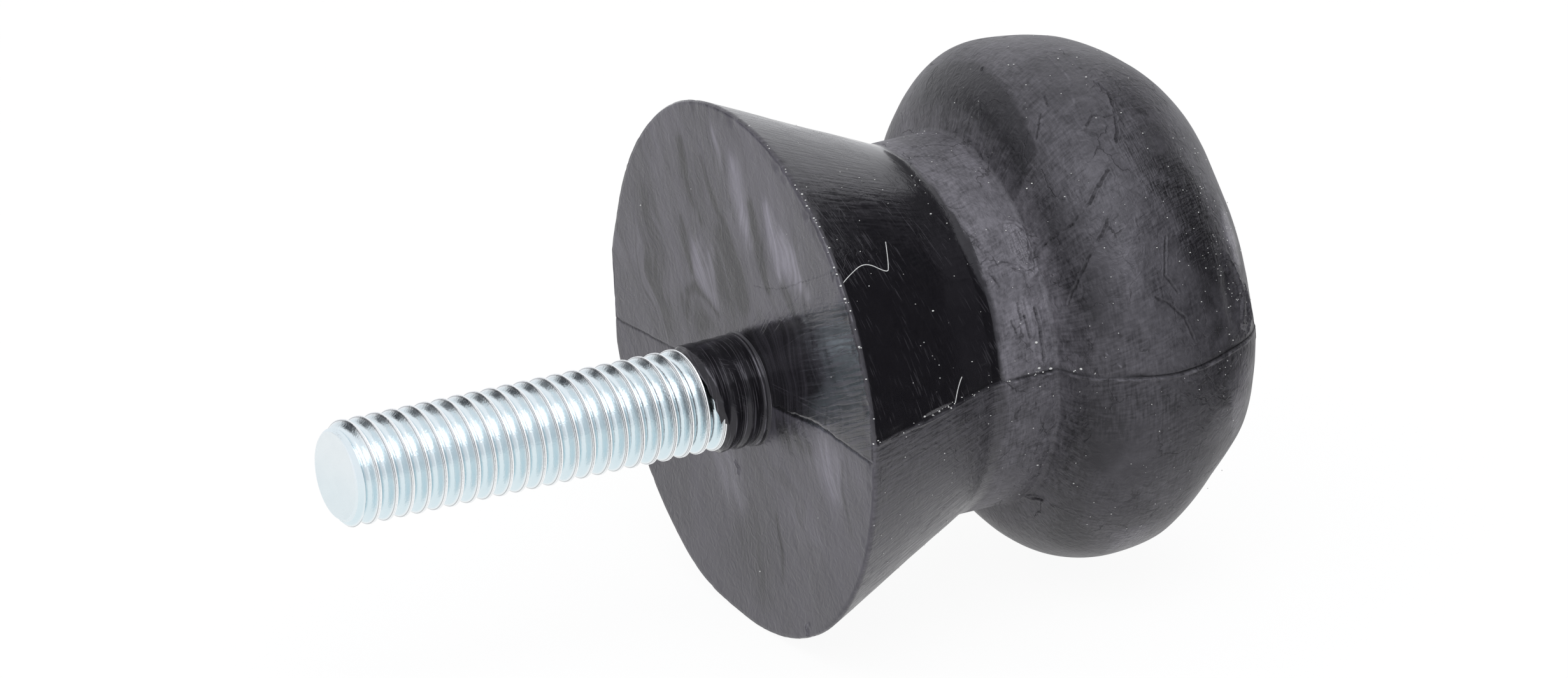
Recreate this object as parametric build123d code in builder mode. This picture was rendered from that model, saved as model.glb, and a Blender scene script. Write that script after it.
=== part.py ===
from build123d import *
import os
from math import acos, asin, atan2, cos, degrees, radians, sin, tan

# Rubber buffer: one moulded rubber body on the free end of a steel stud.
# X runs along the body's centre line, from the seat face towards the round head.
# The mould parts in the XY plane, and +Z is the side of its upper half.
# The origin is the middle of the seat face. All sizes are in millimetres.

# Rubber body
seat_diameter = 30.0        # flat face that bears on the panel
seat_edge_break = 0.15      # narrow bevel on the rim of the seat face
cone_length = 10.0          # from the seat face to the start of the neck
neck_diameter = 20.7        # waist that a socket's lip closes round
neck_length = 4.0           # straight part of the waist
head_diameter = 28.9        # widest part of the round head
head_rise = 4.8             # along the axis, from the neck to the widest part
head_root_angle = 72.0      # degrees to the axis, where the head rises from the neck
crown_radius = 8.3          # outer shoulder of the head
nose_diameter = 20.6        # flat end of the head

# Flash that the mould leaves where its halves meet
ridge_height = 0.12
ridge_width = 0.16

# Steel stud, a hexagon screw moulded into the body by its head
thread_diameter = 6.0
thread_length = 25.0        # free length in front of the seat face
tip_chamfer = 0.55
run_out_length = 0.8        # the thread fades out behind the seat face
shank_diameter = 5.35       # plain length inside the rubber
sunk_length = 5.0           # from the seat face to the hexagon head
hexagon_across_flats = 10.0
hexagon_height = 4.0
hexagon_edge_chamfer = 0.4
stud_drop = 0.9             # the stud sits this far below the body's centre line

# Rubber film that crept onto the thread in the mould
film_thickness = 0.2
film_length = 3.0           # at its middle
film_end_slant = 10.0       # degrees, it reaches further on the side of the upper mould half

# Values that follow from the sizes above
seat_radius = seat_diameter / 2
neck_radius = neck_diameter / 2
head_radius = head_diameter / 2
thread_radius = thread_diameter / 2
shank_radius = shank_diameter / 2
neck_end = cone_length + neck_length
widest_at = neck_end + head_rise
crown_centre = (widest_at, head_radius - crown_radius)
nose_angle = asin((nose_diameter / 2 - crown_centre[1]) / crown_radius)
nose_reach = crown_radius * cos(nose_angle)
body_length = widest_at + nose_reach


def half_outline(growth):
    """Half outline of the rubber body, grown outwards on every side but the seat."""
    neck = neck_radius + growth
    nose = body_length + growth

    # The head starts as a straight flank that runs smoothly into a quarter of an ellipse
    rise = head_rise + growth
    swell = head_radius - neck_radius
    steepness = tan(radians(head_root_angle))
    flank_end = atan2(swell, rise * steepness)
    flank_top = (widest_at - rise * cos(flank_end), neck + swell * sin(flank_end))
    flank_foot = (flank_top[0] - swell * sin(flank_end) / steepness, neck)

    crown = crown_radius + growth
    crown_end = acos((nose_reach + growth) / crown)
    with BuildLine(Plane.XY) as outline:
        Polyline((0, 0), (0, seat_radius + growth), (cone_length, neck), flank_foot, flank_top)
        EllipticalCenterArc(
            (widest_at, neck),
            rise,
            swell,
            start_angle=90,
            arc_size=90 - degrees(flank_end),
        )
        CenterArc(crown_centre, crown, degrees(crown_end), 90 - degrees(crown_end))
        Polyline((nose, crown_centre[1] + crown * sin(crown_end)), (nose, 0), (0, 0))
    return outline.line


os.makedirs("parts", exist_ok=True)

# Threaded stud: thread at its full diameter, run-out, plain shank, hexagon head
stud_seat = Plane(origin=(0, 0, -stud_drop), z_dir=(1, 0, 0))
stud_side = Plane(origin=(0, 0, -stud_drop))
with BuildPart() as threaded_stud:
    with BuildSketch(stud_side):
        with BuildLine():
            Polyline(
                (-thread_length, 0),
                (-thread_length, thread_radius - tip_chamfer),
                (tip_chamfer - thread_length, thread_radius),
                (0, thread_radius),
                (run_out_length, shank_radius),
                (sunk_length, shank_radius),
                (sunk_length, 0),
                close=True,
            )
        make_face()
    revolve(axis=Axis((0, 0, -stud_drop), (1, 0, 0)))
    with BuildSketch(stud_seat.offset(sunk_length)):
        RegularPolygon(radius=hexagon_across_flats / 2, side_count=6, major_radius=False)
    extrude(amount=hexagon_height)
    chamfer(threaded_stud.faces().sort_by(Axis.X)[-1].edges(), hexagon_edge_chamfer)
threaded_stud.part.label = "threaded_stud"

# Film of rubber on the first turns of the thread, with a slanted end
slant = radians(film_end_slant)
film_end = Plane(origin=(-film_length, 0, -stud_drop), z_dir=(cos(slant), 0, sin(slant)))
with BuildPart() as film:
    with BuildSketch(stud_seat):
        Circle(thread_radius + film_thickness)
    extrude(amount=-thread_length)
    split(bisect_by=film_end, keep=Keep.TOP)

with BuildPart() as rubber_body:
    with BuildSketch(Plane.XY):
        add(half_outline(0))
        make_face()
    revolve(axis=Axis.X)
    rim = rubber_body.edges().filter_by_position(Axis.X, -0.01, 0.01)
    chamfer(rim, seat_edge_break)

    # Flash ridge all round the outline, but not across the flat seat
    with BuildSketch(Plane.XY):
        add(half_outline(ridge_height))
        make_face()
        mirror(about=Plane.XZ)
    extrude(amount=ridge_width / 2, both=True)

    # The stud lies in the rubber with no gap, because the body is moulded round it
    add(film.part)
    add(threaded_stud.part, mode=Mode.SUBTRACT)
rubber_body.part.label = "rubber_body"

export_step(threaded_stud.part, "parts/threaded_stud.step")
export_step(rubber_body.part, "parts/rubber_body.step")
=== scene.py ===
import logging
import math
import random
from dataclasses import dataclass
from enum import Enum
from functools import partial
from typing import Any, Callable

import bmesh
import bpy
from mathutils import Matrix, Vector, kdtree, noise


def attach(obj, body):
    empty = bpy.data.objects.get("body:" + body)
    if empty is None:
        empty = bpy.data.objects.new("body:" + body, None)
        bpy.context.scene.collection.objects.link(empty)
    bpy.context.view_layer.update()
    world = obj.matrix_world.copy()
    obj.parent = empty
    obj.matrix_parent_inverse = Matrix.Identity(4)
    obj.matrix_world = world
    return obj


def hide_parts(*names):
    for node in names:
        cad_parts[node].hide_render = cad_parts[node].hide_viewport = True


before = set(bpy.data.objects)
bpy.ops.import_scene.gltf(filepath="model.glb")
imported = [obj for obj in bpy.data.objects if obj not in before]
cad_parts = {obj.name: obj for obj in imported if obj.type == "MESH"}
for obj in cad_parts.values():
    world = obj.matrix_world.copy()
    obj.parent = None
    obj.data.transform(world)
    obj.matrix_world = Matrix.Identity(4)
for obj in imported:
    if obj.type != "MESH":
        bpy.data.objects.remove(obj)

LOG = logging.getLogger("rubber_buffer")
MM = 0.001
WHITE = "#ffffff"
# the property that sets a node's mode, for the nodes that have one
MODES = {"Math": "operation", "VectorMath": "operation", "MapRange": "interpolation_type", "Mix": "data_type",
         "TexVoronoi": "feature"}


def linear(hex_colour: str) -> tuple[float, float, float, float]:
    """Turns an sRGB hex colour into the linear colour that shaders take.

    Args:
        hex_colour: Six hex digits after a hash sign.

    Returns:
        Linear red, green and blue, with an alpha of one.
    """
    parts = [int(hex_colour[i:i + 2], 16) / 255 for i in (1, 3, 5)]
    flat = [p / 12.92 if p <= 0.04045 else ((p + 0.055) / 1.055) ** 2.4 for p in parts]
    return (flat[0], flat[1], flat[2], 1.0)


def add_node(tree: bpy.types.NodeTree, kind: str, *values: Any, at: dict[int | str, Any] | None = None,
             out: int | str = 0, **settings: Any) -> bpy.types.NodeSocket | None:
    """Adds one node with its settings and links.

    Args:
        tree: The node tree that gets it.
        kind: Blender's name of the node, and after a colon the mode that it works in.
        values: Numbers or output sockets for its first inputs, in order.
        at: Numbers or output sockets for other inputs, by name or place.
        out: Name or place of the output that is wanted.
        settings: Other properties of the node by name.

    Returns:
        The wanted output, or nothing for a node that has none.
    """
    name, _, mode = kind.partition(":")
    node = tree.nodes.new("ShaderNode" + name)
    if mode:
        settings[MODES[name]] = mode
    for key, value in settings.items():
        setattr(node, key, value)
    for key, value in [*enumerate(values), *(at or {}).items()]:
        if isinstance(value, bpy.types.NodeSocket):
            tree.links.new(value, node.inputs[key])
        else:
            node.inputs[key].default_value = value
    return node.outputs[out] if node.outputs else None


def start_nodes(owner: bpy.types.Material | bpy.types.World) -> Callable[..., Any]:
    """Empties a node tree before a finish is built.

    Args:
        owner: The material or world that has the tree.

    Returns:
        The function add_node, bound to that tree.
    """
    owner.use_nodes = True
    owner.node_tree.nodes.clear()
    return partial(add_node, owner.node_tree)


def smooth(low: float, high: float, value: float) -> float:
    """Rises smoothly from 0 at low to 1 at high."""
    t = min(1.0, max(0.0, (value - low) / (high - low)))
    return t * t * (3 - 2 * t)


def bell(value: float, width: float) -> float:
    """A soft bump of height 1 around 0 that is gone by about twice its width."""
    return math.exp(-(value / width) ** 2)


def ripple(x: float, y: float = 0.0, z: float = 0.0) -> float:
    """Smooth noise between about -1 and 1 at a place."""
    return noise.noise(Vector((x, y, z)))


def spin_round(bm: bmesh.types.BMesh, steps: int) -> None:
    """Spins the whole mesh once round the X axis."""
    bmesh.ops.spin(bm, geom=[*bm.verts, *bm.edges], cent=(0, 0, 0), axis=(1, 0, 0), angle=2 * math.pi,
                   steps=steps, use_merge=True)


class Slot(Enum):
    """The two material slots, by name."""

    RUBBER = "rubber"
    ZINC = "zinc_steel"


class MarkKind(Enum):
    """What a line on the rubber is."""

    CRACK = "crack"
    SCRATCH = "scratch"
    WELD_LINE = "weld line"


@dataclass(frozen=True)
class Mark:
    """A fine line cut or pressed into the rubber.

    The path's points are (x in mm, turn in degrees) on the round skin, or (y, z) in mm
    on the seat face for a weld line.
    """

    kind: MarkKind
    path: tuple[tuple[float, float], ...]
    width: float = 0.06
    depth: float = 0.10
    lip: float = 0.0
    # painted shade in the line; below zero the line is lighter instead
    dark: float = 1.0


@dataclass(frozen=True)
class Patch:
    """A soft-edged area of the skin with its own finish.

    Its middle and reach are (x in mm, turn in degrees) on the round skin, or (y, z) in
    mm on the seat face.
    """

    middle: tuple[float, float]
    reach: tuple[float, float]
    bloom: float = 0.0
    gloss: float = 0.0
    swell: float = 0.0
    wrinkle: float = 0.0
    edge: float = 0.35
    on_seat: bool = False

    def away(self, a: float, b: float) -> float:
        """Distance of a place from the middle, as a share of the reach."""
        across = (b - self.middle[1]) if self.on_seat else (b - self.middle[1] + 180) % 360 - 180
        return math.hypot((a - self.middle[0]) / self.reach[0], across / self.reach[1])

    def share_at(self, a: float, b: float, wobble: float) -> float:
        """How much of the patch there is at a place, from 0 to 1.

        Args:
            a: First coordinate of the place, x or y in mm.
            b: Second coordinate, the turn in degrees or z in mm.
            wobble: Noise that makes the edge uneven.

        Returns:
            1 in the middle and 0 outside.
        """
        away = self.away(a, b) + self.edge * wobble
        return 1 - smooth(0.8 - self.edge, 0.8 + self.edge, away)

    def rise_at(self, a: float, b: float) -> float:
        """Height that the patch adds at a place in mm, without ragged edges."""
        return self.swell * smooth(1.5, 0.0, self.away(a, b)) if self.swell else 0.0


@dataclass(frozen=True)
class Stroke:
    """A feathery smear on the seat face, where the rubber flowed in the mould.

    The path's points are (y, z) in mm. A positive tone is lighter, a negative one darker.
    """

    path: tuple[tuple[float, float], ...]
    width: float
    tone: float

    def share_at(self, y: float, z: float, wobble: float) -> float:
        """How much of the smear there is at a place on the seat face, from 0 to 1.

        Args:
            y: Place across in mm.
            z: Height in mm.
            wobble: Noise that frays the edge.

        Returns:
            1 on the path, less towards its ends, and 0 beside it.
        """
        best = 0.0
        count = len(self.path) - 1
        for k, ((ay, az), (by, bz)) in enumerate(zip(self.path, self.path[1:])):
            length = math.hypot(by - ay, bz - az)
            t = min(1.0, max(0.0, ((y - ay) * (by - ay) + (z - az) * (bz - az)) / length ** 2))
            away = math.hypot(y - ay - t * (by - ay), z - az - t * (bz - az)) / self.width
            if away < 2.2:
                along = (k + t) / count
                slim = 0.45 + 0.55 * math.sin(math.pi * min(1.0, 0.12 + along))
                best = max(best, math.exp(-((away + 0.35 * wobble) / slim) ** 2))
        return best


class Place(Enum):
    """The coordinates that a pattern on the rubber follows."""

    OBJECT = "place in mm"
    SKIN = "along the axis, round it in mm, and turn"
    BENT = "the object's place, with a wandering x"
    FLOW = "distance from the stud, and direction"


@dataclass(frozen=True)
class Pattern:
    """A noise pattern. Its lumps are about size mm across.

    Each of its rows is one coordinate, as shares of the place's three, which stretches
    and slants it. The range from low to high is stretched over 0 to 1.
    """

    size: float
    detail: float = 2.0
    distortion: float = 0.0
    low: float = 0.0
    high: float = 0.0
    place: Place = Place.OBJECT
    rows: tuple[tuple[float, float, float], ...] = ()


# Sizes are in mm. The finest ones are drawn as coarse as they need to show in the render.
RUBBER_PATTERNS = {
    # fine grain of the matte mould, and the powdery and cloudy wax bloom on it
    "fine": Pattern(0.11),
    "powder": Pattern(0.30, 4.0, 0.4, 0.32, 0.70),
    "cloud": Pattern(1.7, 5.0, 0.8, 0.32, 0.68),
    "leather": Pattern(0.62, 5.0, 1.4),
    # pulled streaks and rubbing hairlines of the glossy cone, the last only in places
    "streaks": Pattern(0.16, 3.0, 0.0, 0.36, 0.66, Place.SKIN, ((0.10, 0.0, 0.0), (0.0, 1.0, 0.0))),
    "hairs": Pattern(0.10, 2.0, 0.0, 0.56, 0.70, Place.SKIN, ((0.95, 0.31, 0.0), (0.0, 0.06, 0.0), (0.0, 0.0, 0.8))),
    "hair_places": Pattern(2.2, 2.0, 0.0, 0.40, 0.60),
    # two slanted sets of rubbing marks on the matte skin
    "crosswise": Pattern(0.12, 2.0, 0.4, 0.0, 0.0, Place.SKIN, ((1.0, 0.0, 0.0), (0.056, 0.16, 0.0))),
    "lengthwise": Pattern(0.15, 2.0, 0.4, 0.0, 0.0, Place.SKIN, ((0.22, 0.0, 0.0), (-0.25, 1.0, 0.0))),
    "scuff_places": Pattern(3.0, 2.0, 0.0, 0.30, 0.60),
    # fine rings round the film on the thread
    "rings": Pattern(0.08, 2.0, 0.0, 0.54, 0.66, Place.SKIN, ((1.0, 0.0, 0.0), (0.0, 0.007, 0.0))),
    # swirling flow of the seat face
    "flow_tone": Pattern(1.0, 4.0, 0.8, 0.34, 0.66, Place.FLOW, ((0.07, 0.0, 0.0), (0.0, 2.4, 0.0), (0.0, 0.0, 2.4))),
    "flow_lines": Pattern(1.0, 3.0, 0.6, 0.0, 0.0, Place.FLOW, ((0.10, 0.0, 0.0), (0.0, 11.0, 0.0), (0.0, 0.0, 11.0))),
    # drag marks beside the stud run on a slant across the seat face
    "drags": Pattern(0.17, 3.0, 0.2, 0.42, 0.68, Place.OBJECT, ((0.0, 0.39, 0.92), (0.0, -0.046, 0.0195))),
    # comb lines of the smears run down and a little towards the near side
    "comb_fine": Pattern(0.22, 3.0, 0.0, 0.36, 0.64, Place.BENT, ((5.0, 1.0, -0.36), (0.0, 0.0, 0.055))),
    "comb_wide": Pattern(1.1, 2.0, 0.0, 0.38, 0.62, Place.BENT, ((5.0, 1.0, -0.36), (0.0, 0.0, 0.055))),
    # where the aged skin is crazed
    "crazed_places": Pattern(2.8, 3.0, 0.0, 0.50, 0.62),
}
MASKS = ("gloss", "bloom", "line", "seat", "streak", "wrinkle", "ring", "comb")


@dataclass(frozen=True)
class MouldedRubber:
    """Black compression-moulded rubber.

    Where the steel mould was polished the skin is glossy and nearly black. Elsewhere a
    thin grey bloom of wax lies on it, so it looks satin to matte and blotchy.
    """

    skin: str = "#131215"
    bloom: str = "#8b888f"
    seat_bloom: str = "#8c8894"
    # painted shade: cracks, crazing and the parting gap darken towards this, darker than the bare skin
    crack: str = "#060607"
    sheen: str = "#f6f4fd"
    base_share: float = 0.52
    polished_roughness: float = 0.11
    matte_roughness: float = 0.56
    ior: float = 1.5
    skin_radius_mm: float = 12.0
    swirl_mm: float = 5.5
    swirl_push_mm: float = 9.0
    flow_centre_mm: float = 0.9
    crazing_mm: float = 3.4
    crazing_bend_mm: float = 1 / 0.9
    crazing_push_mm: float = 1.6

    def build(self) -> bpy.types.Material:
        """Makes the material.

        Returns:
            The finished material, named for rubber and moulding.
        """
        material = bpy.data.materials.new("moulded_rubber")
        add = start_nodes(material)
        mm = add("VectorMath:SCALE", add("TexCoord", out="Object"), at={"Scale": 1 / MM})
        signals = self.patterns(add, mm)
        for name in MASKS:
            signals[name] = add("Attribute", out="Fac", attribute_name=name)
        self.combine(add, mm, signals)
        seat, gloss = signals["seat"], signals["gloss"]

        # the grey bloom, from the clouds and powder of the skin or the flow of the seat face
        skin_tone = self.pile(add, signals, 0.50, (("powder", "one", 0.36), ("cloud", "one", 0.40)))
        seat_tone = self.pile(add, signals, 0.70, (("powder", "one", 0.06), ("flow_tone", "one", 0.52)))
        signals["tone"] = add("Mix:FLOAT", seat, at={2: skin_tone, 3: seat_tone})
        share = self.pile(add, signals, 0.0, (
            ("bloom", "tone", self.base_share), ("comb", "one", 0.42), ("skin_scuffs", "one", 0.42),
            ("strokes", "stroke_share", 1.0), ("gloss_hairs", "one", 0.06), ("rings", "ring", 0.30)), True)
        bloom = add("Mix:RGBA", seat, at={6: linear(self.bloom), 7: linear(self.seat_bloom)}, out=2)
        base = add("Mix:RGBA", share, at={6: linear(self.skin), 7: bloom}, out=2)
        # the bare rubber in cracks, crazing and the parting gap, darkened further with painted shade
        lined = add("Mix:RGBA", signals["line_shade"], at={6: base, 7: linear(self.crack)}, out=2)

        # the flow of the seat face and every line, hairline and stroke take off some gloss
        dulled = add("Math:MULTIPLY_ADD", add("Math:MULTIPLY", signals["flow_tone"], seat), -0.20, 1.04)
        shine = add("Math:MULTIPLY", gloss, dulled, use_clamp=True)
        rough = add("Mix:FLOAT", shine, at={2: self.matte_roughness, 3: self.polished_roughness})
        rough = self.pile(add, signals, rough, (
            ("line_shade", "one", 0.35), ("gloss_hairs", "one", 0.14), ("strokes", "one", 0.22)), True)

        # heights in mm
        height = self.pile(add, signals, 0.0, (
            ("fine", "matte", 0.0080), ("leather", "matte", 0.095), ("strokes", "one", 0.010),
            ("crazing", "one", -0.035), ("gloss_hairs", "one", -0.0040), ("rubs", "wrinkle", 0.085),
            ("rings", "ring", 0.008), ("flow_lines", "seat", 0.0022)))
        bump = add("Bump", at={"Strength": 1.0, "Distance": MM, "Height": height})
        shader = add("BsdfPrincipled", at={"Base Color": lined, "Roughness": rough, "IOR": self.ior,
                                           "Normal": bump, "Specular Tint": linear(self.sheen)})
        add("OutputMaterial", shader)
        return material

    def patterns(self, add: Callable[..., Any], mm: bpy.types.NodeSocket) -> dict[str, Any]:
        """Draws every noise pattern on its own stretched and slanted coordinates.

        Args:
            add: Adds a node to the material.
            mm: The place on the object in mm.

        Returns:
            The patterns' outputs by name, and "one", a plain 1.
        """
        x, y, z = add("SeparateXYZ", mm).node.outputs
        turn = add("Math:ARCTAN2", z, add("Math:MULTIPLY", y, -1.0))
        around = add("Math:MULTIPLY", turn, self.skin_radius_mm)
        swirl = {"Vector": mm, "Scale": 1 / self.swirl_mm}
        bend = add("TexNoise", at={**swirl, "Detail": 1.0}, out="Fac")
        # the flow swirls, because its place is pushed about by a wide noise before it is read
        drift = add("TexNoise", at={**swirl, "Detail": 1.5}, out="Color")
        wide, half = self.swirl_push_mm, self.swirl_push_mm / 2
        push = add("VectorMath:MULTIPLY_ADD", drift, (0.0, wide, wide), (0.0, -half, self.flow_centre_mm - half))
        flat = add("VectorMath:MULTIPLY", add("VectorMath:ADD", mm, push), (0.0, 1.0, 1.0))
        out = add("CombineXYZ", add("VectorMath:LENGTH", flat, out="Value"))
        places = {
            Place.OBJECT: mm,
            Place.SKIN: add("CombineXYZ", x, around, turn),
            Place.BENT: add("CombineXYZ", bend, y, z),
            Place.FLOW: add("VectorMath:ADD", add("VectorMath:NORMALIZE", flat), out),
        }
        signals: dict[str, Any] = {"one": 1.0}
        for name, pattern in RUBBER_PATTERNS.items():
            place = places[pattern.place]
            if pattern.rows:
                rows = [add("VectorMath:DOT_PRODUCT", place, row, out="Value") for row in pattern.rows]
                place = add("CombineXYZ", *rows)
            signals[name] = add("TexNoise", out="Fac", at={
                "Vector": place, "Scale": 1 / pattern.size, "Detail": pattern.detail,
                "Distortion": pattern.distortion})
            if pattern.high:
                signals[name] = add("MapRange:SMOOTHSTEP", signals[name], pattern.low, pattern.high)
        # scuffs fade out just before the nose
        signals["off_nose"] = add("MapRange:SMOOTHSTEP", x, 25.7, 24.9)
        return signals

    def combine(self, add: Callable[..., Any], mm: bpy.types.NodeSocket, signals: dict[str, Any]) -> None:
        """Adds the signals that are made of several patterns and masks.

        Args:
            add: Adds a node to the material.
            mm: The place on the object in mm.
            signals: Patterns and masks by name; the new ones are added to it.
        """
        seat, gloss = signals["seat"], signals["gloss"]
        matte = signals["matte"] = add("Math:SUBTRACT", 1.0, gloss)
        off_seat = add("Math:SUBTRACT", 1.0, seat)
        rubs = signals["rubs"] = add("Math:ADD", signals["crosswise"], signals["lengthwise"])
        hairs = add("Math:MULTIPLY", signals["hairs"], signals["hair_places"])
        signals["gloss_hairs"] = add("Math:MULTIPLY", hairs, gloss)

        # the comb mask now carries its own lines, lighter and darker
        lines = add("Math:ADD", signals["comb_fine"], signals["comb_wide"])
        lines = add("Math:MULTIPLY_ADD", lines, 0.6, -0.6)
        signals["comb"] = add("Math:MULTIPLY", lines, signals["comb"])
        strokes = add("Mix:FLOAT", seat, at={2: signals["streaks"], 3: signals["drags"]})
        signals["strokes"] = add("Math:MULTIPLY", strokes, signals["streak"])
        signals["stroke_share"] = add("Math:MULTIPLY_ADD", seat, -0.02, 0.15)

        # fine crazing of the aged skin, a warped net, only in places
        drift = add("TexNoise", at={"Vector": mm, "Scale": 1 / self.crazing_bend_mm, "Detail": 4.0}, out="Color")
        warped = add("VectorMath:MULTIPLY_ADD", drift, (self.crazing_push_mm,) * 3, mm)
        net = add("TexVoronoi:DISTANCE_TO_EDGE", at={"Vector": warped, "Scale": 1 / self.crazing_mm}, out="Distance")
        crazing = add("MapRange:SMOOTHSTEP", net, 0.016, 0.002)
        scuffs = add("Math:SUBTRACT", rubs, 1.0)
        for factor in ("scuff_places", "off_nose"):
            scuffs = add("Math:MULTIPLY", scuffs, signals[factor])
        for factor in (signals["crazed_places"], matte, off_seat):
            crazing = add("Math:MULTIPLY", crazing, factor, use_clamp=True)
        for factor in (matte, off_seat):
            scuffs = add("Math:MULTIPLY", scuffs, factor)
        signals["crazing"], signals["skin_scuffs"] = crazing, scuffs
        # painted shade in the marks and the parting gap, and in the crazing at a little over half
        signals["line_shade"] = add("Math:MAXIMUM", signals["line"], add("Math:MULTIPLY", crazing, 0.55))

    def pile(self, add: Callable[..., Any], signals: dict[str, Any], start: Any,
             terms: tuple[tuple[str, str, float], ...], clamp: bool = False) -> bpy.types.NodeSocket:
        """Adds weighted products of signals to a start value.

        Args:
            add: Adds a node to the material.
            signals: All signals by name.
            start: Number or output to start from.
            terms: Two signals' names and a weight each.
            clamp: Whether every step stays within 0 to 1.

        Returns:
            The sum.
        """
        total = start
        for first, second, weight in terms:
            part = signals[first]
            if second != "one":
                part = add("Math:MULTIPLY", part, signals[second])
            total = add("Math:MULTIPLY_ADD", part, weight, total, use_clamp=clamp)
        return total


@dataclass(frozen=True)
class ZincPlate:
    """Bright electroplated zinc with a thin blue passivation on rolled steel threads.

    It gives a pale, slightly blue metal, with fine speckle from the plating bath and a
    deeper blue-grey in the thread grooves.
    """

    crest: str = "#f3f5f6"
    groove: str = "#d7e7ed"
    # painted reflection: the grooves' paler colour on their top side
    groove_top_reflection: str = "#e3edf1"
    rolled: str = "#858c90"
    roughness: float = 0.20
    speckle_mm: float = 0.12
    speckle_height_mm: float = 0.018
    blotch_mm: float = 1 / 1.2

    def build(self, root_radius: float, crest_radius: float, drop: float, lean: float) -> bpy.types.Material:
        """Makes the material.

        Args:
            root_radius: Radius at the bottom of the thread in mm.
            crest_radius: Radius at the top of the thread in mm.
            drop: How far the stud lies below the body's centre line at the seat in mm.
            lean: How many degrees the stud leans.

        Returns:
            The finished material, named for zinc plate.
        """
        material = bpy.data.materials.new("bright_zinc_plate")
        add = start_nodes(material)
        mm = add("VectorMath:SCALE", add("TexCoord", out="Object"), at={"Scale": 1 / MM})
        straight = add("Mapping", mm, (0.0, 0.0, drop), (0.0, -math.radians(lean), 0.0))
        centred = add("VectorMath:MULTIPLY", straight, (0.0, 1.0, 1.0))
        radius = add("VectorMath:LENGTH", centred, out="Value")
        depth = add("MapRange", radius, root_radius, crest_radius)
        speckle, blotch = (add("TexNoise", at={"Vector": mm, "Scale": 1 / size, "Detail": 3.0}, out="Fac")
                           for size in (self.speckle_mm, self.blotch_mm))

        # the crests and the flat tip are bare metal; the grooves are bluer underneath and paler on top, a painted
        # reflection of the surroundings
        on_tip = add("MapRange", add("SeparateXYZ", mm), -24.82, -24.85, at={"To Max": 0.4})
        bare = add("Math:MAXIMUM", add("MapRange:SMOOTHSTEP", depth, 0.55, 0.95), on_tip)
        painted_top_reflection = add("MapRange:SMOOTHSTEP", add("SeparateXYZ", straight, out=2), -1.4, 1.6)
        passivated = add("Mix:RGBA", painted_top_reflection, at={6: linear(self.groove), 7: linear(self.groove_top_reflection)}, out=2)
        plated = add("Mix:RGBA", bare, at={6: passivated, 7: linear(self.crest)}, out=2)

        # a darker line runs on both sides of each crest
        beside = add("Math:MULTIPLY", add("Math:COMPARE", depth, 0.88, 0.055), 0.55)
        colour = add("Mix:RGBA", beside, at={6: plated, 7: linear(self.rolled)}, out=2)
        spread = add("Math:MULTIPLY_ADD", blotch, 0.22, self.roughness - 0.08)
        spread = add("Math:MULTIPLY_ADD", on_tip, 0.4, spread)
        bump = add("Bump", at={"Strength": 0.7, "Distance": self.speckle_height_mm * MM, "Height": speckle})
        shader = add("BsdfPrincipled", at={"Base Color": colour, "Metallic": 1.0, "Roughness": spread,
                                           "Normal": bump})
        add("OutputMaterial", shader)
        return material


@dataclass(frozen=True)
class PlainFinish:
    """A dull finish of one stuff with a slight mottle, for lint and for the floor."""

    name: str
    colour: str
    second: str
    roughness: float = 0.8
    mottle_mm: float = 0.2
    camera_white: float = 0.0

    def build(self) -> bpy.types.Material:
        """Makes the material.

        Returns:
            The finished material, of which the camera sees the share camera_white as plain white.
        """
        material = bpy.data.materials.new(self.name)
        add = start_nodes(material)
        mottle = add("TexNoise", at={"Vector": add("TexCoord", out="Object"), "Scale": 1 / (self.mottle_mm * MM)},
                     out="Fac")
        colour = add("Mix:RGBA", mottle, at={6: linear(self.colour), 7: linear(self.second)}, out=2)
        surface = add("BsdfPrincipled", at={"Base Color": colour, "Roughness": self.roughness})
        if self.camera_white > 0:
            white = add("Emission", linear(WHITE), 1.0)
            sees = add("LightPath").node.outputs
            seen = add("Math:MAXIMUM", sees["Is Camera Ray"], sees["Is Glossy Ray"])
            surface = add("MixShader", add("Math:MULTIPLY", seen, self.camera_white), surface, white)
        add("OutputMaterial", surface)
        return material


def add_object(bm: bmesh.types.BMesh, name: str, material: bpy.types.Material) -> bpy.types.Object:
    """Puts a mesh made in mm into the scene, in metres.

    Args:
        bm: The mesh in mm; it is freed.
        name: The object's name.
        material: Its finish.

    Returns:
        The new object.
    """
    bmesh.ops.scale(bm, vec=(MM, MM, MM), verts=bm.verts)
    mesh = bpy.data.meshes.new(name)
    bm.to_mesh(mesh)
    bm.free()
    mesh.materials.append(material)
    made = bpy.data.objects.new(name, mesh)
    bpy.context.scene.collection.objects.link(made)
    return made


def finish_piece(bm: bmesh.types.BMesh, name: str, material: bpy.types.Material,
                 node: str | None = None) -> bpy.types.Object:
    """Turns a mesh made in mm into a finished piece of the object.

    Args:
        bm: The mesh in mm; it is freed.
        name: The piece's name.
        material: Its finish.
        node: The CAD node that it stands for, if any.

    Returns:
        The new object, which rides on the one body.
    """
    for face in bm.faces:
        face.smooth = True
    piece = add_object(bm, name, material)
    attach(piece, "root")
    if node:
        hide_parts(node)
    LOG.info("%s: %d faces", name, len(piece.data.polygons))
    return piece


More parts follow.
